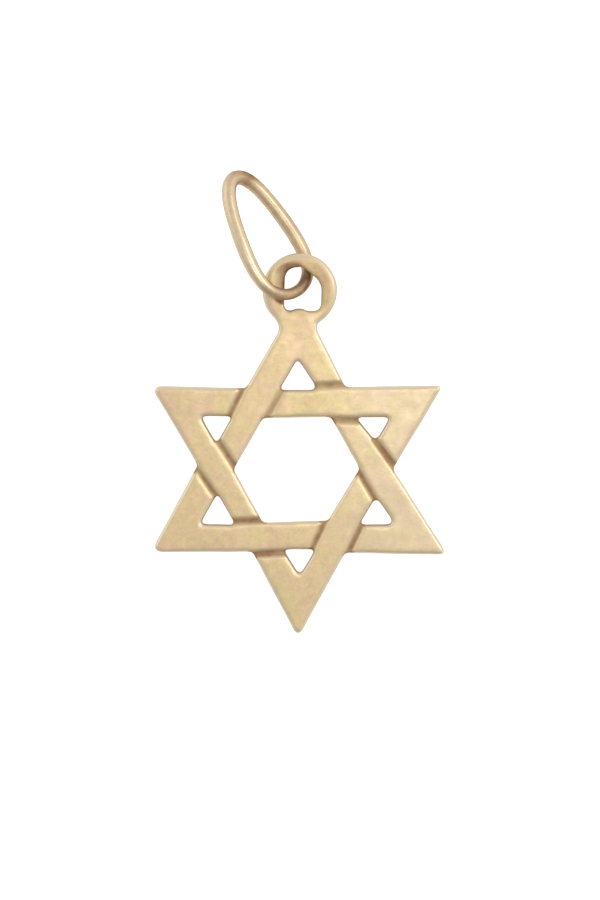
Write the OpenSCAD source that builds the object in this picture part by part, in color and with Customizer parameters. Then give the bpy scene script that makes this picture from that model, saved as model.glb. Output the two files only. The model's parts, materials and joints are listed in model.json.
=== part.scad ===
// Interlaced six-pointed star charm in yellow gold, with a ring at its apex and an oval wire bail.
// It lies on its back. The bail leans against the ring: one leg lies under the ring's far rim and
// props it up, and the other rests on the ring's left side. Millimetres, +Z up, origin on the
// surface under the middle of the charm's outline.

/* [Star] */
// Reach from the middle of the star to a sharp tip
star_r = 10.4; // [8:0.1:14]
// Width of each woven bar
bar_w = 1.8; // [1.4:0.05:2.2]
// Thickness of the plate that the star is cut from
plate_t = 0.95; // [0.7:0.05:1.6]
// Radius that wear has put on the plate's edges
edge_r = 0.16; // [0.08:0.01:0.24]
// Radius of a worn tip
tip_r = 0.4; // [0.25:0.01:0.6]
// Radius in the corners of the small cut-outs
cut_r = 0.2; // [0.1:0.01:0.3]
// Radius where two bars meet, in the outer notches and the middle opening
notch_r = 0.1; // [0.05:0.01:0.2]

/* [Weave] */
// Width of the line filed beside each bar that passes over another
groove_w = 0.34; // [0.2:0.02:0.5]
// Depth of that line
groove_d = 0.24; // [0.1:0.02:0.4]

/* [Eye] */
// Outside diameter of the ring at the apex
eye_d = 4.6; // [4:0.1:6]
// Wall of the ring, from its bore to its outside
eye_wall = 1; // [0.8:0.02:1.3]
// Thickness of the ring, front to back
eye_t = 0.84; // [0.6:0.02:1.1]
// How far the middle of the ring stands beyond the star's sharp tip
eye_rise = 0.8; // [0.5:0.05:1.2]
// Width of the neck that joins the ring to the star
neck_w = 2.35; // [1.8:0.05:3]

/* [Bail] */
// Outside length of the oval bail
bail_len = 8.9; // [7:0.1:12]
// Outside width of the bail at its widest
bail_w = 4.8; // [4.2:0.1:6]
// Diameter of the bail's wire
bail_wire = 0.86; // [0.6:0.02:1]
// How much the oval narrows from its lower end to its top, as a share
bail_taper = 0.32; // [0:0.02:0.4]
// How much fuller both ends of the oval are than an ellipse's, as a share
bail_full = 0.24; // [0:0.02:0.4]

/* [Resting] */
// Turn of the bail to the left of the star's upright
bail_turn = 28; // [10:0.5:40]
// Gap left between the bail and the ring where they rest on each other
rest_gap = 0.03; // [0.02:0.01:0.1]

/* [Hidden] */

// The six bars, from the upper right one and round to the left. Each row holds the way the bar
// faces; how far its outer edge sits outwards and how far it leans, to the left and to the right
// of the bar's middle; how far its inner edge sits inwards and leans; and how worn the tip is
// that the bar faces. The wear is a share of tip_r, and lengths are shares of bar_w.
FACES = 0;
OUT_LEFT = 1;
LEAN_LEFT = 2;
OUT_RIGHT = 3;
LEAN_RIGHT = 4;
IN = 5;
LEAN_IN = 6;
TIP_WEAR = 7;
BARS = [
    [30, -0.09, 3, -0.09, -3.1, 0.97, 0.6, 0.5],
    [90, -0.11, 1.6, -0.03, -0.6, 1.07, -1.1, 1],
    [150, 0.2, -0.8, 0.07, 0.2, 0.97, 0, 1.1],
    [210, -0.17, 2, -0.01, -1, 0.95, 1, 1],
    [270, -0.03, 1.1, -0.05, -0.4, 1.08, -1.6, 1],
    [330, -0.03, 0.2, -0.03, -1, 1.05, 1.2, 0.8],
];
APEX = 1;
LEFT_FOOT = 3;
BOTTOM_FOOT = 4;

// The small three-sided cut-out beyond the middle of each bar, in the same order. Each row holds
// how far out its base sits; how far in its left and right sides sit, on the next bar and on the
// last one; and how round its point and the left and right ends of its base are. Roundness is a
// share of cut_r, and lengths are shares of bar_w.
BASE = 0;
LEFT = 1;
RIGHT = 2;
ROUND_POINT = 3;
ROUND_LEFT = 4;
ROUND_RIGHT = 5;
CUTS = [
    [-0.22, 1.07, 1.13, 0.8, 0.7, 1.6],
    [-0.08, 0.97, 0.95, 0.9, 0.6, 1.3],
    [-0.01, 0.91, 1.02, 0.8, 0.8, 0.8],
    [-0.07, 1, 0.9, 0.7, 0.8, 1],
    [-0.11, 0.97, 1.11, 1.3, 0.8, 0.7],
    [-0.08, 0.98, 0.98, 1.2, 1.2, 0.8],
];

// Steps in a rounded edge, and in a rounded corner
edge_steps = 3;
corner_steps = 5;
// Smallest radius left on a tip where its edge is rounded over
least_r = 0.03;
// Sides of the bail's wire and sections round its length
wire_sides = 16;
wire_sections = 56;

// Bore of the ring, and the middle of its wall. It sits a little to the right of the star's
// middle line, and its neck less so.
eye_bore_r = eye_d / 2 - eye_wall;
eye_ring_r = (eye_d - eye_wall) / 2;
eye_mid = [0.09 * bar_w, star_r + eye_rise];
neck_shift = 0.03 * bar_w;
// Radius on the edges of the ring's section
eye_round = 0.45 * min(eye_wall, eye_t);
// The star's apex is cut off flat just inside the ring's bore
apex_y = eye_mid.y - 0.9 * eye_bore_r;
// The neck's waist lies this far above the ring's lowest point, and its foot this far below that
neck_waist = 0.15 * eye_wall;
neck_foot = 0.3 * neck_w;
// Its head ends inside the ring's wall, and its sides flare this much up to there
neck_head = 0.89 * eye_ring_r;
neck_flare_left = 0.26 * eye_wall;
neck_flare_right = 0.06 * eye_wall;
// Its faces lie this far below those of the plate and the ring, whichever is thinner
neck_sink = 0.02 * plate_t;
// The steep wall of a filed line runs in this far to its floor, and the floor ends this far in.
// Both walls run on above the plate by this share of the line's depth.
groove_wall = 0.17 * groove_w;
groove_floor = 0.5 * groove_w;
groove_lip = 0.4;

// Half the length and half the width of the bail along its centreline
bail_half_len = (bail_len - bail_wire) / 2;
bail_half_w = (bail_w - bail_wire) / 2;
// Where the middle of the bail's lower end lies from the middle of the eye
bail_seat = [-0.215, -0.07] * eye_bore_r;

// Half width of an egg at angle a about its middle, and how fast it grows with the angle
function egg(a) = cos(a) * (1 - bail_taper * sin(a) + bail_full * sin(a) * sin(a));
function egg_growth(a) =
    sin(a) * (2 * bail_full * cos(a) * cos(a) - 1 - bail_full * sin(a) * sin(a))
        - bail_taper * cos(2 * a);
egg_peak = max([for (a = [-90:90]) egg(a)]);

// Centreline of the bail in its own plane, from angle a about its middle, and the way along it
function bail_point(a) = [bail_half_w / egg_peak * egg(a), bail_half_len * sin(a)];
function bail_way(a) =
    unit([bail_half_w / egg_peak * egg_growth(a), bail_half_len * cos(a)]);

// A point of the bail at a lean, seen from the middle of the eye and from the surface. The lower
// end lies in the ring's bore, and the right leg on the surface.
function bail_at(a, lean) =
    let (
        p = bail_point(a),
        across = p.x * cos(lean),
        along = p.y + bail_half_len
    )
    [bail_seat.x + across * cos(bail_turn) - along * sin(bail_turn),
     bail_seat.y + across * sin(bail_turn) + along * cos(bail_turn),
     bail_wire / 2 + (bail_half_w - p.x) * sin(lean)];

// Where two straight edges meet, each given as the way it faces and its distance from the middle
function meet(e, f) =
    [e[1] * sin(f[0]) - f[1] * sin(e[0]), f[1] * cos(e[0]) - e[1] * cos(f[0])] / sin(f[0] - e[0]);

function bar(k) = BARS[(k + 6) % 6];
function cut(k) = CUTS[(k + 6) % 6];

// A bar's edges, cut back by trim: the two stretches of the outer one, and the inner one
function edge(k, place, lean, trim) =
    [bar(k)[FACES] - lean, (star_r / 2 + place * bar_w) * cos(lean) - trim];
function outer_left(k, trim = 0) = edge(k, bar(k)[OUT_LEFT], bar(k)[LEAN_LEFT], trim);
function outer_right(k, trim = 0) = edge(k, bar(k)[OUT_RIGHT], bar(k)[LEAN_RIGHT], trim);
function inner_edge(k, trim = 0) = edge(k, -bar(k)[IN], bar(k)[LEAN_IN], -trim);

function unit(v) = v / norm(v);

// The arc that rounds corner b between its neighbours a and c
function corner_arc(a, b, c, r) =
    let (
        u = unit(a - b),
        v = unit(c - b),
        half = acos(u * v) / 2,
        middle = b + unit(u + v) * r / sin(half),
        start = b + u * r / tan(half) - middle,
        turn = sign(cross(b - a, c - b)) * (180 - 2 * half)
    )
    [for (i = [0:corner_steps])
        let (t = turn * i / corner_steps)
        middle + [start.x * cos(t) - start.y * sin(t), start.x * sin(t) + start.y * cos(t)]];

// A closed outline with every corner rounded by its own radius
function round_off(corners, radii) =
    let (n = len(corners))
    [for (i = [0:n - 1])
        each corner_arc(corners[(i + n - 1) % n], corners[i], corners[(i + 1) % n], radii[i])];

// Corners and radii of one point of the star and the notch to the left of it
function star_corners(k, trim) =
    let (
        right = outer_left(k - 1, trim),
        left = outer_right(k + 1, trim),
        top = [90, apex_y - trim],
        notch = meet(left, outer_left(k, trim))
    )
    k == APEX ? [meet(right, top), meet(top, left), notch] : [meet(right, left), notch];
function star_radii(k, trim) = k == APEX
    ? [least_r, least_r, notch_r + trim]
    : [max(bar(k)[TIP_WEAR] * tip_r - trim, least_r), notch_r + trim];
function star_outline(trim) =
    round_off([for (k = [0:5]) each star_corners(k, trim)],
              [for (k = [0:5]) each star_radii(k, trim)]);

// The middle opening
function middle_corner(k, trim = 0) = meet(inner_edge(k, trim), inner_edge(k + 1, trim));
function middle_outline(trim) =
    round_off([for (k = [0:5]) middle_corner(k, trim)], [for (k = [0:5]) notch_r + trim]);

// The small cut-out beyond bar k: its point, then the left and the right end of its base
function cut_corners(k, trim = 0) =
    let (
        base = edge(k, cut(k)[BASE], 0, trim),
        left = edge(k + 1, -cut(k)[LEFT], 0, -trim),
        right = edge(k - 1, -cut(k)[RIGHT], 0, -trim)
    )
    [meet(right, left), meet(left, base), meet(base, right)];
function cut_outline(k, trim) =
    round_off(cut_corners(k, trim),
              [for (i = [ROUND_POINT, ROUND_LEFT, ROUND_RIGHT]) cut(k)[i] * cut_r + trim]);

// The neck flares from the star's shoulders into the ring, more so on the left
function neck_outline(trim) =
    let (
        half = neck_w / 2 - trim,
        waist = eye_mid.y - eye_d / 2 + neck_waist,
        foot = waist - neck_foot,
        head = eye_mid.y - neck_head
    )
    round_off([[neck_shift - half, foot], [neck_shift + half, foot], [neck_shift + half, waist],
               [neck_shift + half + neck_flare_right, head],
               [neck_shift - half - neck_flare_left, head], [neck_shift - half, waist]],
              [least_r, least_r, notch_r + trim, least_r, least_r, 2 * notch_r + trim]);

// Heights and trims that round both edges of a plate from height low to height high
function rounded_levels(low, high) = concat(
    [for (i = [0:edge_steps])
        let (a = 90 * i / edge_steps) [low + edge_r * (1 - cos(a)), edge_r * (1 - sin(a))]],
    [for (i = [edge_steps:-1:0])
        let (a = 90 * i / edge_steps) [high - edge_r * (1 - cos(a)), edge_r * (1 - sin(a))]]);

// The same for a hole: its flare runs on past both faces of the plate
function flared_levels(low, high) =
    let (
        levels = rounded_levels(low, high),
        last = len(levels) - 1,
        rise = levels[1][0] - levels[0][0],
        flare = 2 * levels[0][1] - levels[1][1]
    )
    concat([[low - edge_r, flare], [low - rise, flare]],
           [for (i = [1:last - 1]) levels[i]],
           [[high + rise, flare], [high + edge_r, flare]]);

// A closed solid through outlines that have one point count, one outline at each height
module slab(heights, outlines) {
    n = len(outlines[0]);
    last = len(outlines) - 1;
    function cap_middle(i) =
        let (sum = [for (p = outlines[i]) 1] * outlines[i]) [sum.x / n, sum.y / n, heights[i]];
    polyhedron(
        points = concat(
            [for (i = [0:last]) for (p = outlines[i]) [p.x, p.y, heights[i]]],
            [cap_middle(0), cap_middle(last)]),
        faces = concat(
            [for (i = [0:last - 1]) for (j = [0:n - 1])
                let (a = i * n + j, b = i * n + (j + 1) % n)
                each [[a, a + n, b], [b, a + n, b + n]]],
            [for (j = [0:n - 1]) [(last + 1) * n, j, (j + 1) % n]],
            [for (j = [0:n - 1]) [(last + 1) * n + 1, last * n + (j + 1) % n, last * n + j]]));
}

module rounded_plate() {
    levels = rounded_levels(0, plate_t);
    slab([for (l = levels) l[0]], [for (l = levels) star_outline(l[1])]);
}

module openings() {
    levels = flared_levels(0, plate_t);
    heights = [for (l = levels) l[0]];
    slab(heights, [for (l = levels) middle_outline(l[1])]);
    for (k = [0:5]) slab(heights, [for (l = levels) cut_outline(k, l[1])]);
}

// A line filed along the front face from p to q, on the left or the right of the way there. Its
// steep wall is the side of the bar that passes over.
module groove(p, q, side) {
    way = q - p;
    translate([(p.x + q.x) / 2, (p.y + q.y) / 2, plate_t])
        rotate([90, 0, atan2(way.y, way.x) + side * 90])
            linear_extrude(height = norm(way) + 2 * groove_w, center = true)
                polygon([[-groove_lip * groove_wall, groove_lip * groove_d],
                         [groove_wall, -groove_d], [groove_floor, -groove_d],
                         [groove_w + groove_lip * (groove_w - groove_floor),
                          groove_lip * groove_d]]);
}

// Bar k + 1 passes over bar k, which has a line on each side of it, from opening to opening
module weave_grooves() {
    for (k = [0:5]) {
        notch = meet(outer_right(k + 1), outer_left(k));
        groove(notch, cut_corners(k + 1)[2], -1);
        groove(cut_corners(k)[1], middle_corner(k), 1);
    }
}

module eye_ring() {
    translate([eye_mid.x, eye_mid.y, plate_t / 2])
        rotate_extrude($fn = 64)
            translate([eye_ring_r, 0]) {
                for (x = [-1, 1] * (eye_wall / 2 - eye_round), y = [-1, 1] * (eye_t / 2 - eye_round))
                    translate([x, y]) circle(r = eye_round, $fn = 24);
                square([eye_wall - 2 * eye_round, eye_t], center = true);
                square([eye_wall, eye_t - 2 * eye_round], center = true);
            }
}

module neck() {
    inset = max(0, plate_t - eye_t) / 2 + neck_sink;
    levels = rounded_levels(inset, plate_t - inset);
    slab([for (l = levels) l[0]], [for (l = levels) neck_outline(l[1])]);
}

module star_flat() {
    difference() {
        rounded_plate();
        openings();
        weave_grooves();
    }
    neck();
    eye_ring();
}

// The star lies tipped about the line through its two lowest tips, with the bail's leg as a prop
// under the far rim of its ring
function furthest(points, way) =
    let (
        reach = [for (p = points) p.x * cos(way) + p.y * sin(way)],
        most = max(reach)
    )
    [for (i = [0:len(points) - 1]) if (reach[i] == most) points[i]][0];

foot_left = furthest(star_outline(edge_r), BARS[LEFT_FOOT][FACES]);
foot_bottom = furthest(star_outline(edge_r), BARS[BOTTOM_FOOT][FACES]);
hinge_way = unit(foot_bottom - foot_left);
eye_reach = cross(hinge_way, eye_mid - foot_left);

// How far above or below the ring's middle plane the middle of the wire passes, at a distance
// from the ring's axis
function clearance(d) =
    let (
        reach = eye_round + bail_wire / 2 + rest_gap,
        beyond = max(0, abs(d - eye_ring_r) - (eye_wall / 2 - eye_round))
    )
    beyond < reach ? eye_t / 2 - eye_round + sqrt(reach * reach - beyond * beyond) : undef;

// Slopes of the star at which its ring just clears each point of a leg. side is 1 for the right
// leg, which lies under the ring, and -1 for the left one, which lies over it.
function slopes(lean, side) =
    [for (a = [-90:90])
        let (
            p = bail_at(side > 0 ? a : 180 - a, lean),
            apart = clearance(norm([p.x, p.y]))
        )
        if (apart != undef)
            (p.z + side * apart - plate_t / 2) / (eye_reach + cross(hinge_way, [p.x, p.y]))];

// The bail leans just so far that the ring finds room between its legs
function settle(low, high, rounds) =
    let (lean = (low + high) / 2)
    rounds == 0
        ? lean
        : max(slopes(lean, 1)) > min(slopes(lean, -1))
            ? settle(lean, high, rounds - 1)
            : settle(low, lean, rounds - 1);
bail_lean = settle(5, 75, 20);
tilt = atan(max(slopes(bail_lean, 1)));

// Where a point of the flat star comes to lie
function tipped(p) =
    let (
        k = [hinge_way.x, hinge_way.y, 0],
        foot = [foot_left.x, foot_left.y, 0],
        v = p - foot
    )
    foot + v * cos(tilt) + cross(k, v) * sin(tilt) + k * (k * v) * (1 - cos(tilt));

module tip_over() {
    translate([foot_left.x, foot_left.y, 0])
        rotate(a = tilt, v = [hinge_way.x, hinge_way.y, 0])
            translate([-foot_left.x, -foot_left.y, 0])
                children();
}

// Where the middle of the eye comes to lie
eye_place = tipped([eye_mid.x, eye_mid.y, plate_t / 2]);

module bail_solid() {
    points = [for (i = [0:wire_sections - 1]) for (j = [0:wire_sides - 1])
        let (
            a = 360 * i / wire_sections,
            b = 360 * j / wire_sides,
            p = bail_point(a),
            t = bail_way(a),
            out = bail_wire / 2 * cos(b)
        )
        [p.x + out * t.y, p.y - out * t.x, bail_wire / 2 * sin(b)]];
    faces = [for (i = [0:wire_sections - 1]) for (j = [0:wire_sides - 1])
        let (
            i2 = (i + 1) % wire_sections,
            j2 = (j + 1) % wire_sides,
            a = i * wire_sides + j,
            b = i * wire_sides + j2,
            c = i2 * wire_sides + j2,
            d = i2 * wire_sides + j
        )
        each [[a, b, c], [a, c, d]]];
    translate([eye_place.x + bail_seat.x, eye_place.y + bail_seat.y,
               bail_wire / 2 + bail_half_w * sin(bail_lean)])
        rotate([0, 0, bail_turn])
            translate([0, bail_half_len, 0])
                rotate([0, bail_lean, 0])
                    polyhedron(points = points, faces = faces);
}

// The middle of the charm's outline on the surface
star_seen = [for (z = [edge_r, plate_t - edge_r]) for (p = star_outline(0)) tipped([p.x, p.y, z])];
bail_seen = [for (a = [0:358]) eye_place + bail_at(a, bail_lean)];
function lowest(i) =
    min(min([for (p = star_seen) p[i]]), min([for (p = bail_seen) p[i]]) - bail_wire / 2);
function highest(i) =
    max(max([for (p = star_seen) p[i]]), max([for (p = bail_seen) p[i]]) + bail_wire / 2);
middle = [lowest(0) + highest(0), lowest(1) + highest(1)] / 2;

module star() {
    color([0.87, 0.76, 0.55]) translate([-middle.x, -middle.y, 0]) tip_over() star_flat();
}

module bail() {
    color([0.84, 0.71, 0.52]) translate([-middle.x, -middle.y, 0]) bail_solid();
}

star();
bail();
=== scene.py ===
import json
import math

import bmesh
import bpy
from mathutils import Matrix, Vector


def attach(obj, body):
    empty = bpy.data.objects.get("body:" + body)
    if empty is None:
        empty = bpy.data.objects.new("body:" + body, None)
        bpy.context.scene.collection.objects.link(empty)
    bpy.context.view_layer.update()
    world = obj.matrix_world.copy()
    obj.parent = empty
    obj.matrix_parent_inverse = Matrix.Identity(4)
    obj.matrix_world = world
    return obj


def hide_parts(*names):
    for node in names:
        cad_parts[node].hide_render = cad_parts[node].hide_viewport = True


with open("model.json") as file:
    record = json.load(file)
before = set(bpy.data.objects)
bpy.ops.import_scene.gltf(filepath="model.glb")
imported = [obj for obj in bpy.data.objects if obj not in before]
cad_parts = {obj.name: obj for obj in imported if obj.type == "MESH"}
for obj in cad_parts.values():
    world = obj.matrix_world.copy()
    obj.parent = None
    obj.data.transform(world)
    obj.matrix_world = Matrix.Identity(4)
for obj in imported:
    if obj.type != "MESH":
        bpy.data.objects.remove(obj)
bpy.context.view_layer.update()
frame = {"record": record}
mounts = {mount["name"]: mount for mount in frame["record"]["mounts"]}

# The camera hangs straight over the charm, as in the photograph, with a long lens. The height of
# the picture covers 56.25 mm at the level of the star's face.
face_level = 0.00138
picture_height = 0.05625
picture_middle = (0.00006, -0.00308)
lens_mm = 200
sensor_mm = 36
camera_height = face_level + picture_height * lens_mm / sensor_mm
bpy.ops.object.camera_add(location=(*picture_middle, camera_height))
camera = bpy.context.object
camera.name = "camera"
camera.data.lens = lens_mm
camera.data.sensor_width = sensor_mm
camera.data.clip_start = 0.01
bpy.context.scene.camera = camera
bpy.context.scene.view_settings.view_transform = "Standard"


def span(tree, value, old, new):
    """Carries a value over from an old span to a new one, and holds it at the ends."""
    carry = tree.nodes.new("ShaderNodeMapRange")
    carry.inputs["From Min"].default_value = old[0]
    carry.inputs["From Max"].default_value = old[1]
    carry.inputs["To Min"].default_value = new[0]
    carry.inputs["To Max"].default_value = new[1]
    tree.links.new(value, carry.inputs["Value"])
    return carry.outputs["Result"]


# The charm lies on a sheet of white opal glass that is lit from below, so that it comes out white
# and shows no shadow. The gold mirrors less of that light than the camera sees, as it does where
# only the picture's background is overexposed.
table_size = 1.2
table_light_on_gold = 0.45
table_light_seen = 0.9
bpy.ops.mesh.primitive_grid_add(x_subdivisions=8, y_subdivisions=8, size=table_size)
light_table = bpy.context.object
light_table.name = "light_table"
opal = bpy.data.materials.new("opal_glass")
opal.use_nodes = True
opal_shader = opal.node_tree.nodes["Principled BSDF"]
opal_shader.inputs["Base Color"].default_value = (0.5, 0.5, 0.5, 1)
opal_shader.inputs["Roughness"].default_value = 0.9
opal_shader.inputs["Specular IOR Level"].default_value = 0.1
opal_shader.inputs["Emission Color"].default_value = (1, 1, 1, 1)
light_path = opal.node_tree.nodes.new("ShaderNodeLightPath")
table_light = span(opal.node_tree, light_path.outputs["Is Camera Ray"], (0, 1),
                   (table_light_on_gold, table_light_seen))
opal.node_tree.links.new(table_light, opal_shader.inputs["Emission Strength"])
light_table.data.materials.append(opal)


def combine(tree, operation, first, second):
    """Sum or product of two values, each a number or what a node gives out."""
    working = tree.nodes.new("ShaderNodeMath")
    working.operation = operation
    for socket, value in zip(working.inputs, (first, second)):
        if isinstance(value, (int, float)):
            socket.default_value = value
        else:
            tree.links.new(value, socket)
    return working.outputs["Value"]


# Soft studio light. The room is pale all round, darker below the picture and a little brighter to
# its right. A key lamp stands to the upper right and a broad, weaker one low on the left, and a
# small one hangs close over the upper right of the star, where the gold is brightest.
room_strength = 0.97
share_below = 0.56
share_right = 1.3
room = bpy.data.worlds.new("studio")
bpy.context.scene.world = room
room.use_nodes = True
walls = room.node_tree
walls.nodes.clear()
view_way = walls.nodes.new("ShaderNodeTexCoord")
way_parts = walls.nodes.new("ShaderNodeSeparateXYZ")
walls.links.new(view_way.outputs["Generated"], way_parts.inputs["Vector"])
below_picture = span(walls, way_parts.outputs["Y"], (-1, 0),
                     (share_below * room_strength, room_strength))
right_of_picture = span(walls, way_parts.outputs["X"], (0, 0.9), (1, share_right))
wall = walls.nodes.new("ShaderNodeBackground")
world_out = walls.nodes.new("ShaderNodeOutputWorld")
walls.links.new(combine(walls, "MULTIPLY", below_picture, right_of_picture), wall.inputs["Strength"])
walls.links.new(wall.outputs["Background"], world_out.inputs["Surface"])


def soft_lamp(name, azimuth, elevation, distance, width, power):
    """A square soft lamp that looks at the charm. Azimuth 0 is to the right of the picture."""
    turn = math.radians(azimuth)
    rise = math.radians(elevation)
    way = Vector((math.cos(turn) * math.cos(rise), math.sin(turn) * math.cos(rise), math.sin(rise)))
    bpy.ops.object.light_add(type="AREA", location=way * distance)
    lamp = bpy.context.object
    lamp.name = name
    lamp.data.shape = "SQUARE"
    lamp.data.size = width
    lamp.data.energy = power
    lamp.rotation_euler = way.to_track_quat("Z", "Y").to_euler()
    lamp.visible_camera = False


soft_lamp("key_lamp", azimuth=25, elevation=47, distance=0.20, width=0.07, power=0.038)
soft_lamp("left_lamp", azimuth=155, elevation=22, distance=0.25, width=0.20, power=0.040)
soft_lamp("top_lamp", azimuth=37, elevation=83, distance=0.0805, width=0.028, power=0.0034)

# Both pieces are gold that has been worn for years. Its colour wanders between yellow and rose, and
# it has a fine grain, scratches from rubbing and small knocks. A pale colour paints highlights on the
# edges, and a brown one paints shade, with some dirt, into hollows and where the pieces shade each
# other. Places are in millimetres, and heights are shares of each gold's own depth.
# The pale colour of painted highlights on edges; the bail takes a little of it all over
pale_rub_and_highlight = (0.84, 0.74, 0.57, 1)
# The brown of painted shade, with some dirt
shade_and_dirt_brown = (0.36, 0.20, 0.10, 1)
darkening_dulls = 0.4
scratch_depth = 1
grain_height = 0.6
knock_depth = 2.5
wear = bpy.data.node_groups.new("worn_gold_and_painted_light", "ShaderNodeTree")
for socket, kind in (("Place", "Vector"), ("Yellow", "Color"), ("Rose", "Color"),
                     ("Gloss", "Float"), ("Soil_and_shade", "Float"), ("Sheen_and_rub", "Float")):
    wear.interface.new_socket(socket, in_out="INPUT", socket_type="NodeSocket" + kind)
for socket, kind in (("Base Color", "Color"), ("Roughness", "Float"), ("Height", "Float")):
    wear.interface.new_socket(socket, in_out="OUTPUT", socket_type="NodeSocket" + kind)
given = wear.nodes.new("NodeGroupInput")
result = wear.nodes.new("NodeGroupOutput")


def noise(name, scale, detail, roughness=0.5, stretch=None, turn=0):
    """A noise pattern. A stretch makes it run in lines, turned by an angle about the upright."""
    pattern = wear.nodes.new("ShaderNodeTexNoise")
    pattern.name = name
    pattern.inputs["Scale"].default_value = scale
    pattern.inputs["Detail"].default_value = detail
    pattern.inputs["Roughness"].default_value = roughness
    source = given.outputs["Place"]
    if stretch:
        lines = wear.nodes.new("ShaderNodeMapping")
        lines.inputs["Rotation"].default_value = (0, 0, math.radians(turn))
        lines.inputs["Scale"].default_value = stretch
        wear.links.new(source, lines.inputs["Vector"])
        source = lines.outputs["Vector"]
    wear.links.new(source, pattern.inputs["Vector"])
    return pattern.outputs["Fac"]


def blend(kind, factor, first, second):
    """Mixes two colours."""
    mix = wear.nodes.new("ShaderNodeMix")
    mix.data_type = "RGBA"
    mix.blend_type = kind
    # Of a Mix node's sockets, 0 is the factor, 6 and 7 are the two colours and 2 is the mixed one
    for place, value in ((0, factor), (6, first), (7, second)):
        if isinstance(value, (int, float, tuple)):
            mix.inputs[place].default_value = value
        else:
            wear.links.new(value, mix.inputs[place])
    return mix.outputs[2]


patches = span(wear, noise("patches", scale=0.9, detail=5, roughness=0.6), (0.38, 0.62), (0, 1))
specks = span(wear, noise("specks", scale=2.4, detail=5, roughness=0.7), (0.32, 0.68), (0.91, 1.08))
flecks = span(wear, noise("flecks", scale=7, detail=2), (0.32, 0.68), (0.965, 1.035))
smears = span(wear, noise("smears", scale=1.8, detail=3), (0.35, 0.65), (0.75, 1.15))
tone = blend("MIX", patches, given.outputs["Yellow"], given.outputs["Rose"])
tone = blend("MULTIPLY", 1, tone, combine(wear, "MULTIPLY", specks, flecks))
# The pale colour mixed in first is a painted highlight, and the brown one after it is painted shade with
# some dirt
tone = blend("MIX", given.outputs["Sheen_and_rub"], tone, pale_rub_and_highlight)
tone = blend("MIX", combine(wear, "MULTIPLY", given.outputs["Soil_and_shade"], smears), tone, shade_and_dirt_brown)
wear.links.new(tone, result.inputs["Base Color"])

polish = span(wear, noise("polish", scale=1.6, detail=3), (0.35, 0.65), (-0.05, 0.05))
dulled = combine(wear, "MULTIPLY", given.outputs["Soil_and_shade"], darkening_dulls)
polished = combine(wear, "ADD", given.outputs["Gloss"], polish)
wear.links.new(combine(wear, "ADD", polished, dulled), result.inputs["Roughness"])

lines_across = noise("scratches_across", scale=1, detail=2, stretch=(1.1, 15, 3), turn=35)
lines_along = noise("scratches_along", scale=1, detail=2, stretch=(0.9, 13, 3), turn=-60)
scratches = combine(wear, "ADD", span(wear, lines_across, (0.62, 0.74), (0, -scratch_depth)),
                    span(wear, lines_along, (0.63, 0.75), (0, -scratch_depth)))
grain = combine(wear, "MULTIPLY", noise("grain", scale=5, detail=3), grain_height)
knocks = wear.nodes.new("ShaderNodeTexVoronoi")
knocks.feature = "SMOOTH_F1"
knocks.inputs["Scale"].default_value = 0.7
knocks.inputs["Smoothness"].default_value = 0.2
wear.links.new(given.outputs["Place"], knocks.inputs["Vector"])
pits = span(wear, knocks.outputs["Distance"], (0, 0.14), (-knock_depth, 0))
height = combine(wear, "ADD", scratches, combine(wear, "ADD", grain, pits))
wear.links.new(height, result.inputs["Height"])

# The star is sawn from gold sheet about 1 mm thick. Its six bars look interlaced, but they are one
# piece: the outline, the six-sided opening in the middle and the six small three-sided openings
# are pierced and filed by hand, and each comes out a little different.
sheet_thickness = 0.95
# Places are in millimetres from the middle of the star until the finished star is brought to its
# place, and each corner is written with the radius that it is rounded by
star_outline = [
    ((9.10, 5.25), 0.1), ((3.01, 5.18), 0.08), ((0.62, 9.95), 0.1), ((-0.40, 9.95), 0.1),
    ((-3.20, 5.09), 0.08), ((-9.18, 5.24), 0.36), ((-6.21, 0.28), 0.08), ((-9.18, -5.18), 0.4),
    ((-2.81, -5.13), 0.08), ((0.05, -10.56), 0.3), ((3.00, -5.20), 0.08), ((9.40, -5.32), 0.22),
    ((5.98, 0.04), 0.08),
]
middle_opening = [
    ((2.10, 3.31), 0.08), ((-2.12, 3.23), 0.08), ((-3.99, 0.0), 0.08),
    ((-2.15, -3.32), 0.08), ((1.93, -3.20), 0.08), ((3.92, 0.08), 0.08),
]
small_openings = [
    [((5.85, 3.31), 0.18), ((3.66, 3.29), 0.12), ((4.92, 1.72), 0.28)],
    [((0.02, 6.94), 0.14), ((-1.12, 4.98), 0.1), ((1.33, 4.98), 0.24)],
    [((-6.06, 3.36), 0.12), ((-5.05, 1.62), 0.14), ((-4.04, 3.36), 0.12)],
    [((-6.10, -3.42), 0.14), ((-3.84, -3.48), 0.16), ((-5.00, -1.49), 0.12)],
    [((0.15, -6.68), 0.24), ((1.16, -4.97), 0.12), ((-0.90, -4.98), 0.12)],
    [((6.16, -3.44), 0.28), ((4.93, -1.70), 0.22), ((3.85, -3.46), 0.14)],
]
# A cutter that goes right through the sheet reaches from below it to above it
right_through = (-1, 2)


def edit(thing):
    """Opens one piece in edit mode with nothing of it selected."""
    bpy.ops.object.select_all(action="DESELECT")
    thing.select_set(True)
    bpy.context.view_layer.objects.active = thing
    bpy.ops.object.mode_set(mode="EDIT")
    bpy.ops.mesh.select_mode(type="VERT")
    bpy.ops.mesh.select_all(action="DESELECT")


def pick(thing, chosen):
    """Selects the points of the piece in edit mode that chosen says yes to."""
    mesh = bmesh.from_edit_mesh(thing.data)
    for point in mesh.verts:
        point.select = bool(chosen(point.co))
    mesh.select_flush_mode()
    bmesh.update_edit_mesh(thing.data)


def finish_edit():
    """Turns every face outwards and leaves edit mode."""
    bpy.ops.mesh.select_all(action="SELECT")
    bpy.ops.mesh.normals_make_consistent(inside=False)
    bpy.ops.object.mode_set(mode="OBJECT")


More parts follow.
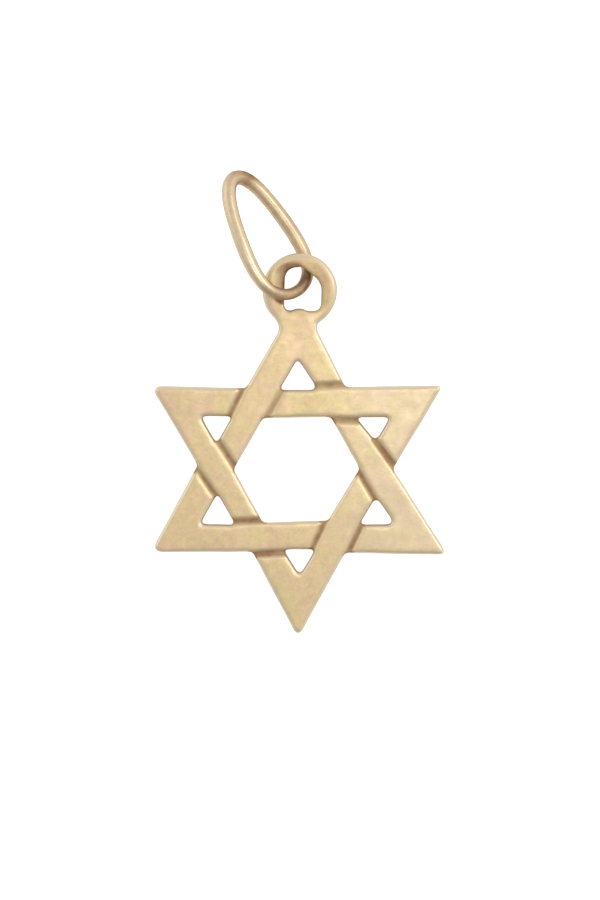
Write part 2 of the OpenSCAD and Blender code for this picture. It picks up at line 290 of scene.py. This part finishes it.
def apply_modifier(thing, kind, **settings):
    """Adds one modifier with these settings to a piece and applies it."""
    bpy.ops.object.select_all(action="DESELECT")
    thing.select_set(True)
    bpy.context.view_layer.objects.active = thing
    change = thing.modifiers.new(kind.lower(), kind)
    for setting, value in settings.items():
        setattr(change, setting, value)
    bpy.ops.object.modifier_apply(modifier=change.name)


def sawn(name, corners, low, high):
    """Sheet with these corners, each with its own radius, from height low to high."""
    count = len(corners)
    blank_radius = 20
    same_place = 0.0001
    bpy.ops.object.select_all(action="DESELECT")
    bpy.ops.mesh.primitive_circle_add(vertices=count, radius=blank_radius, fill_type="NGON")
    sheet = bpy.context.object
    sheet.name = name
    starts = [point.co.copy() for point in sheet.data.vertices]
    edit(sheet)
    for start, (corner, _) in zip(starts, corners):
        pick(sheet, lambda co: (co - start).length < same_place)
        bpy.ops.transform.translate(value=(corner[0] - start.x, corner[1] - start.y, low))
    for number, (corner, radius) in enumerate(corners):
        here = Vector(corner)
        before = Vector(corners[number - 1][0]) - here
        after = Vector(corners[(number + 1) % count][0]) - here
        half = before.angle(after) / 2
        pick(sheet, lambda co: (co.xy - here).length < same_place)
        bpy.ops.mesh.bevel(offset=radius / math.tan(half), segments=5, affect="VERTICES")
    bpy.ops.mesh.select_all(action="SELECT")
    bpy.ops.mesh.extrude_region_move(TRANSFORM_OT_translate={"value": (0, 0, high - low)})
    finish_edit()
    return sheet


def cut_away(base, tool):
    """Cuts one piece out of another."""
    apply_modifier(base, "BOOLEAN", operation="DIFFERENCE", solver="EXACT", object=tool)
    bpy.data.objects.remove(tool)


star = sawn("interlaced_star", star_outline, 0, sheet_thickness)
cut_away(star, sawn("middle_opening", middle_opening, *right_through))
for opening in small_openings:
    cut_away(star, sawn("small_opening", opening, *right_through))

# The ring that the bail hangs in, and the neck that carries it, are cut from the same sheet,
# soldered to the apex and filed until no join shows: all edges are rounded over together. The hole
# isn't round: the bail has worn it upwards, and its lower end is squarish with a small bump.
ring_middle = Vector((0.17, 11.205))
ring_radius = 2.33
ring_thickness = 0.87
ring_level = 0.485
ring_softness = 0.24
neck_corners = [
    ((-1.17, 8.2), 0.05), ((1.24, 8.2), 0.05), ((1.24, 9.05), 0.1), ((1.30, 9.6), 0.05),
    ((-1.38, 9.6), 0.05), ((-1.13, 8.98), 0.3),
]
neck_low = 0.05
neck_high = 0.93
hole = [
    ((-0.77, 12.62), 0.7), ((0.36, 12.70), 0.5), ((1.56, 11.68), 0.95), ((1.50, 9.90), 0.5),
    ((0.62, 9.90), 0.3), ((0.33, 10.06), 0.1), ((-0.08, 10.06), 0.1), ((-0.35, 9.93), 0.2),
    ((-0.86, 9.93), 0.35),
]
bpy.ops.object.select_all(action="DESELECT")
bpy.ops.mesh.primitive_cylinder_add(
    vertices=72, radius=ring_radius, depth=ring_thickness, location=(*ring_middle, ring_level))
ring = bpy.context.object
bpy.ops.object.transform_apply(location=True)
apply_modifier(ring, "BEVEL", width=ring_softness, segments=4, limit_method="ANGLE",
               angle_limit=math.radians(50), use_clamp_overlap=False)
neck = sawn("neck", neck_corners, neck_low, neck_high)
bpy.ops.object.select_all(action="DESELECT")
for part in (ring, neck, star):
    part.select_set(True)
bpy.context.view_layer.objects.active = star
bpy.ops.object.join()
apply_modifier(star, "REMESH", mode="VOXEL", voxel_size=0.068)
apply_modifier(star, "SMOOTH", factor=0.5, iterations=26)
cut_away(star, sawn("hole", hole, *right_through))

# The bail has also worn a slope into the left side of the hole. It is half the sheet deep at the
# hole and runs out towards the left of the ring's rim.
worn_depth = 0.5
slope_corners = [
    ((-0.77, 12.62), 0.7), ((0.30, 12.66), 0.5), ((1.45, 11.62), 0.7), ((1.30, 10.50), 0.3),
    ((-0.75, 10.42), 0.4),
]
above_sheet = sheet_thickness + 0.45
flare = (1.7, 1.33, 1)
flare_middle = (1.2, 10.9, 0)
worn_slope = sawn("worn_slope", slope_corners, sheet_thickness - worn_depth, above_sheet)
edit(worn_slope)
pick(worn_slope, lambda co: co.z > sheet_thickness)
bpy.ops.transform.resize(value=flare, center_override=flare_middle)
finish_edit()
cut_away(star, worn_slope)

# Where one bar passes over the next, a line is filed across the lower bar on each side of the
# upper one. That is what makes the star look woven. Each line is cut with a round file from
# opening to opening, and its depth differs a little from line to line.
file_radius = 0.30
beside_upper_bar = 0.17
overrun = 0.7
filed_lines = [
    ((3.01, 5.18), (1.11, 5.06), 0.15), ((3.66, 3.27), (2.10, 3.31), 0.16),
    ((-3.20, 5.09), (-4.04, 3.36), 0.16), ((-1.07, 5.06), (-2.12, 3.23), 0.13),
    ((-6.21, 0.27), (-5.00, -1.49), 0.16), ((-5.05, 1.62), (-3.99, 0.0), 0.17),
    ((-2.81, -5.13), (-0.81, -5.00), 0.17), ((-3.90, -3.40), (-2.15, -3.32), 0.16),
    ((3.00, -5.20), (3.85, -3.44), 0.16), ((1.10, -5.00), (1.93, -3.20), 0.16),
    ((5.98, 0.04), (4.80, 1.66), 0.19), ((4.90, -1.62), (3.92, 0.08), 0.16),
]
line_paths = []
files = []
for number, (start, end, depth) in enumerate(filed_lines):
    path = Vector(end) - Vector(start)
    along = path.normalized()
    side = Vector((along.y, -along.x)) if number % 2 == 0 else Vector((-along.y, along.x))
    line_start = Vector(start) + side * beside_upper_bar
    line_end = Vector(end) + side * beside_upper_bar
    line_paths.append((line_start, line_end))
    middle = (line_start + line_end) / 2
    bpy.ops.object.select_all(action="DESELECT")
    bpy.ops.mesh.primitive_cylinder_add(
        vertices=32, radius=file_radius, depth=path.length + overrun,
        location=(middle.x, middle.y, sheet_thickness + file_radius - depth),
        rotation=(0, math.radians(90), math.atan2(along.y, along.x)))
    files.append(bpy.context.object)
bpy.ops.object.select_all(action="DESELECT")
for round_file in files:
    round_file.select_set(True)
bpy.ops.object.join()
bpy.ops.object.transform_apply(location=True, rotation=True, scale=True)
cut_away(star, bpy.context.object)
apply_modifier(star, "REMESH", mode="VOXEL", voxel_size=0.072)
apply_modifier(star, "SMOOTH", factor=0.5, iterations=12)

# Hand work leaves the sheet a little uneven.
hand_work = bpy.data.textures.new("hand_work", "CLOUDS")
hand_work.noise_scale = 2.2
hand_work.noise_depth = 1
apply_modifier(star, "DISPLACE", texture=hand_work, texture_coords="LOCAL", strength=0.05, mid_level=0.3)


def share(value, low, high):
    """How far a value has come from low to high, as a share from 0 to 1."""
    return max(0, min(1, (value - low) / (high - low)))


# Edges are painted pale as a highlight, and the right side of the face is too, a little, as where
# more light falls. Painted shade, with some dirt, lies in the filed lines; painted shade darkens the
# walls of the small openings and, more the deeper it is, the ring's worn bore by the bail; the rest of
# the ring is darker too, more to its right. Slopes are angles from level, in radians.
edge_slope = 0.75
line_slope = 1.3
wall_starts = 1
wall_slope = 1.4
bore_slope = 2
highlight_on_right = 0.28
highlight_starts = 1.5
full_highlight = 5.5
highlight_left_in_bore = 0.2
highlight_left_in_lines = 0.25
shade_in_lines = 0.75
shade_in_openings = 0.3
darkening_on_ring = 0.27
more_on_ring_right = 0.12
darkening_at_rim = 0.25
shade_by_depth = 4.2
shade_by_slope = 0.32
line_reach = 0.34
line_hollow = 0.0975
opening_reach = 1.6
ring_reach = 2.4
rim_reach = 2.15
bore_reach = 2.1
full_darkening_reach = 1.85
neck_end = 9.5
full_darkening_end = 10.4
worn_face = sheet_thickness - 0.04
opening_middles = [sum((Vector(corner) for corner, _ in opening), Vector((0, 0))) / 3
                   for opening in small_openings]
soil_and_shade = star.data.attributes.new("soil_and_shade", "FLOAT", "POINT")
edge = star.data.attributes.new("edge", "FLOAT", "POINT")
for point in star.data.vertices:
    place = point.co.xy
    slope = point.normal.angle(Vector((0, 0, 1)))
    below = max(0, worn_face - point.co.z)
    from_middle = place - ring_middle
    darkening = 0
    # Painted highlight: edges are painted pale
    pale_highlight = max(0, 1 - abs(slope - edge_slope) / edge_slope)
    if slope < edge_slope:
        # Painted highlight: the right of the face is painted a little paler
        pale_highlight = max(pale_highlight, highlight_on_right * share(place.x, highlight_starts, full_highlight))
    # The ring is painted darker, more to its right
    if from_middle.length < ring_reach and place.y > neck_end:
        inside_rim = share(from_middle.length, rim_reach, full_darkening_reach)
        darkening = ((darkening_on_ring + more_on_ring_right * from_middle.x / ring_radius)
                  * share(place.y, neck_end, full_darkening_end)
                  * (darkening_at_rim + (1 - darkening_at_rim) * inside_rim))
        # Painted shade in the worn bore where the bail shades it, darker where it is deeper and steeper
        faces_bore = point.normal.xy.dot(from_middle) < 0 and from_middle.length < bore_reach
        if faces_bore and slope < bore_slope:
            pale_highlight = pale_highlight * highlight_left_in_bore
            darkening = max(darkening, min(1, shade_by_depth * below ** 1.8 + shade_by_slope * slope ** 2))
    # Painted shade on the walls of the small openings
    elif slope > wall_starts and any((place - middle).length < opening_reach for middle in opening_middles):
        darkening = shade_in_openings * share(slope, wall_starts, wall_slope)
    # Painted shade, with some dirt, in the filed lines, darker where they are deeper
    elif slope < line_slope:
        for start, end in line_paths:
            way = end - start
            nearest = start + way * max(0, min(1, (place - start).dot(way) / way.length_squared))
            if (place - nearest).length < line_reach:
                pale_highlight = pale_highlight * highlight_left_in_lines
                darkening = shade_in_lines * share(below, 0, line_hollow)
    soil_and_shade.data[point.index].value = darkening
    edge.data[point.index].value = pale_highlight


def lay_down(thing, place):
    """Brings a finished piece to its place, and lets it down on the table."""
    thing.matrix_world = place
    bpy.ops.object.select_all(action="DESELECT")
    thing.select_set(True)
    bpy.context.view_layer.objects.active = thing
    bpy.ops.object.transform_apply(location=True, rotation=True, scale=True)
    lowest = min(point.co.z for point in thing.data.vertices)
    bpy.ops.transform.translate(value=(0, 0, -lowest))
    bpy.ops.object.transform_apply(location=True, rotation=True, scale=True)
    bpy.ops.object.shade_smooth()


# The finished star lies tipped: on its two lower tips, and with its ring propped on the bail.
back = mounts["back"]
back_middle = Vector((0, 4.3, 0))
tip_over = Vector((0, 0, -1)).rotation_difference(Vector(back["axis"]))
to_metres = Matrix.Scale(0.001, 4)
lay_down(star, Matrix.Translation(back["pos_m"]) @ tip_over.to_matrix().to_4x4()
         @ to_metres @ Matrix.Translation(-back_middle))


def gold(name, yellow, rose, gloss, depth):
    """Gold with the shared wear, dirt, painted shade and painted highlights. The depth is that of its
    scratches and knocks, in metres.
    """
    metal = bpy.data.materials.new(name)
    metal.use_nodes = True
    nodes = metal.node_tree.nodes
    links = metal.node_tree.links
    shader = nodes["Principled BSDF"]
    shader.inputs["Metallic"].default_value = 1
    where = nodes.new("ShaderNodeTexCoord")
    millimetres = nodes.new("ShaderNodeMapping")
    millimetres.inputs["Scale"].default_value = (1000, 1000, 1000)
    # Masks for painted shade with some dirt, and for painted highlights on edges
    darkening = nodes.new("ShaderNodeAttribute")
    darkening.attribute_name = "soil_and_shade"
    rounded = nodes.new("ShaderNodeAttribute")
    rounded.attribute_name = "edge"
    worn = nodes.new("ShaderNodeGroup")
    worn.node_tree = wear
    worn.inputs["Yellow"].default_value = (*yellow, 1)
    worn.inputs["Rose"].default_value = (*rose, 1)
    worn.inputs["Gloss"].default_value = gloss
    bump = nodes.new("ShaderNodeBump")
    bump.inputs["Strength"].default_value = 1
    bump.inputs["Distance"].default_value = depth
    links.new(where.outputs["Object"], millimetres.inputs["Vector"])
    links.new(millimetres.outputs["Vector"], worn.inputs["Place"])
    links.new(darkening.outputs["Fac"], worn.inputs["Soil_and_shade"])
    links.new(rounded.outputs["Fac"], worn.inputs["Sheen_and_rub"])
    links.new(worn.outputs["Base Color"], shader.inputs["Base Color"])
    links.new(worn.outputs["Roughness"], shader.inputs["Roughness"])
    links.new(worn.outputs["Height"], bump.inputs["Height"])
    links.new(bump.outputs["Normal"], shader.inputs["Normal"])
    return metal


star.data.materials.append(gold(
    "satin_gold", yellow=(0.80, 0.635, 0.335), rose=(0.82, 0.595, 0.375), gloss=0.38, depth=0.000003))
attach(star, "root")
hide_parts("star")

# The bail is an oval ring of round gold wire, bent and closed by hand, that hangs loose in the
# ring. It has fallen over to the left: its right leg lies on the table under the ring's rim, and
# its left leg leans over the ring's left side. Wear has thinned its lower end.
wire_thickness = 0.91
bail_half_length = 4.02
bail_half_width = 1.97
narrowing = 0.32
fullness = 0.24
lower_end_wear = 0.2
bend_count = 24
bends = []
for step in range(bend_count):
    angle = math.radians(360 / bend_count * step)
    egg = math.cos(angle) * (1 - narrowing * math.sin(angle) + fullness * math.sin(angle) ** 2)
    bends.append((egg, math.sin(angle)))
widest = max(x for x, _ in bends)

bpy.ops.object.select_all(action="DESELECT")
bpy.ops.curve.primitive_bezier_circle_add(radius=2)
bail = bpy.context.object
bail.name = "oval_bail"
bpy.ops.object.mode_set(mode="EDIT")
bpy.ops.curve.select_all(action="SELECT")
bpy.ops.curve.subdivide(number_cuts=bend_count // 4 - 1)
bpy.ops.object.mode_set(mode="OBJECT")
points = sorted(bail.data.splines[0].bezier_points,
                key=lambda point: math.atan2(point.co.y, point.co.x) % math.tau)
for point, (x, y) in zip(points, bends):
    point.handle_left_type = "AUTO"
    point.handle_right_type = "AUTO"
    point.co = (bail_half_width * x / widest, bail_half_length * y, 0)
    point.radius = 1 - lower_end_wear * max(0, -y) ** 2
bail.data.resolution_u = 10
bail.data.bevel_depth = wire_thickness / 2
bail.data.bevel_resolution = 6
bpy.ops.object.convert(target="MESH")
bail = bpy.context.object
apply_modifier(bail, "DISPLACE", texture=hand_work, texture_coords="LOCAL", strength=0.04, mid_level=0.55)

# Painted shade darkens the bail's lower end, under the ring's rim, and its right leg, close to the
# table and the left leg, more than its left. It is also darker on the right of its upper end, and a
# little all over. Each reach goes from where the darkening starts to where it is full.
soil_all_over = 0.036
shade_on_right_leg = 0.224
shade_at_lower_end = 0.46
darkening_at_upper_right = 0.65
right_leg_reach = (-0.4, 1)
lower_end_reach = (2.5, 3.5)
upper_end_reach = (2.7, 3.7)
upper_right_reach = (-0.75, 0.5)
rubbed_all_over = 0.05
soil_and_shade = bail.data.attributes.new("soil_and_shade", "FLOAT", "POINT")
edge = bail.data.attributes.new("edge", "FLOAT", "POINT")
for point in bail.data.vertices:
    x, y, _ = point.co
    soil_and_shade.data[point.index].value = (
        soil_all_over + shade_on_right_leg * share(x, *right_leg_reach)
        + shade_at_lower_end * share(-y, *lower_end_reach)
        + darkening_at_upper_right * share(y, *upper_end_reach) * share(x, *upper_right_reach))
    edge.data[point.index].value = rubbed_all_over
loop = mounts["bail_loop"]
leaning = Vector(loop["axis"])
lay_down(bail, Matrix.Translation(loop["pos_m"])
         @ Matrix.Rotation(math.atan2(leaning.y, leaning.x), 4, "Z")
         @ Matrix.Rotation(math.acos(leaning.z), 4, "Y") @ to_metres)
bail.data.materials.append(gold(
    "polished_gold", yellow=(0.79, 0.65, 0.41), rose=(0.78, 0.60, 0.41), gloss=0.24, depth=0.0000008))
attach(bail, "root")
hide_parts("bail")
